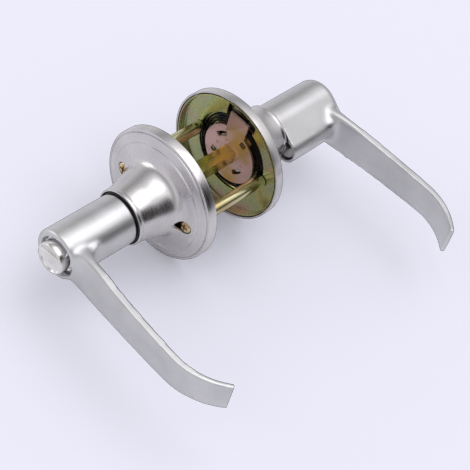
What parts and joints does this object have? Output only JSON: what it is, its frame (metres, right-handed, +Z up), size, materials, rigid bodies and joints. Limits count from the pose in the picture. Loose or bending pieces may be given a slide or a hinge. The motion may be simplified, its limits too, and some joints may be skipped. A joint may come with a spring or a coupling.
{
  "type": "privacy door lever set",
  "caption": "Privacy door lever set without its latch: curved levers on bell roses, turn button, square spindle and posts through the door.",
  "frame": {"origin": "on the spindle's axis, midway between the two faces of the door", "axes": "+Y along the spindle from the inside half to the outside half, +X to the lever tips, +Z up on an upright door"},
  "size_m": [0.1318, 0.1795, 0.066],
  "materials": {
    "satin_nickel": "satin brushed nickel plate",
    "polished_nickel": "polished",
    "yellow_zinc": "yellow chromate zinc plate",
    "pink_zinc": "pinkish chromate zinc plate",
    "gold_zinc": "gold chromate zinc plate",
    "black_steel": "glossy black spring steel",
    "black_nylon": "matte moulded nylon",
    "steel": "bright zinc plate"
  },
  "bodies": {
    "roses": {"inside_rose": "satin_nickel", "outside_rose": "satin_nickel", "inside_plate": "yellow_zinc", "outside_plate": "yellow_zinc", "inside_bush": "black_nylon", "outside_bush": "black_nylon", "inside_return_spring": "black_steel", "outside_return_spring": "black_steel", "post_left": "yellow_zinc", "post_right": "yellow_zinc", "mounting_screw_left": "yellow_zinc", "mounting_screw_right": "yellow_zinc"},
    "inside_handle": {"inside_lever": "satin_nickel", "inside_grub_screw": "steel", "inside_sleeve": "steel", "inside_circlip": "steel", "inside_rotor": "pink_zinc"},
    "outside_handle": {"outside_lever": "satin_nickel", "outside_lever_catch": "steel", "outside_sleeve": "steel", "outside_circlip": "steel", "outside_rotor": "pink_zinc"},
    "drive_spindle": {"spindle": "gold_zinc"},
    "privacy_turn": {"turn_button": "polished_nickel", "button_washer": "steel", "button_clip": "steel", "privacy_rod": "steel"}
  },
  "joints": [
    {"name": "inside_lever_turn", "type": "hinge", "parent": "roses", "child": "inside_handle", "pos_m": [0, 0, 0], "axis": [0, 1, 0], "range_deg": [-45, 45], "stiffness_Nm_per_rad": 2},
    {"name": "outside_lever_turn", "type": "hinge", "parent": "roses", "child": "outside_handle", "pos_m": [0, 0, 0], "axis": [0, 1, 0], "range_deg": [-45, 45], "stiffness_Nm_per_rad": 2},
    {"name": "spindle_turn", "type": "hinge", "parent": "roses", "child": "drive_spindle", "pos_m": [0, 0, 0], "axis": [0, 1, 0], "range_deg": [-45, 45]},
    {"name": "privacy_button_turn", "type": "hinge", "parent": "inside_handle", "child": "privacy_turn", "pos_m": [0, 0, 0], "axis": [0, 1, 0], "range_deg": [0, 90]}
  ],
  "couplings": [
    {"joint": "outside_lever_turn", "follows": "inside_lever_turn", "ratio": 1},
    {"joint": "spindle_turn", "follows": "inside_lever_turn", "ratio": 1}
  ]
}
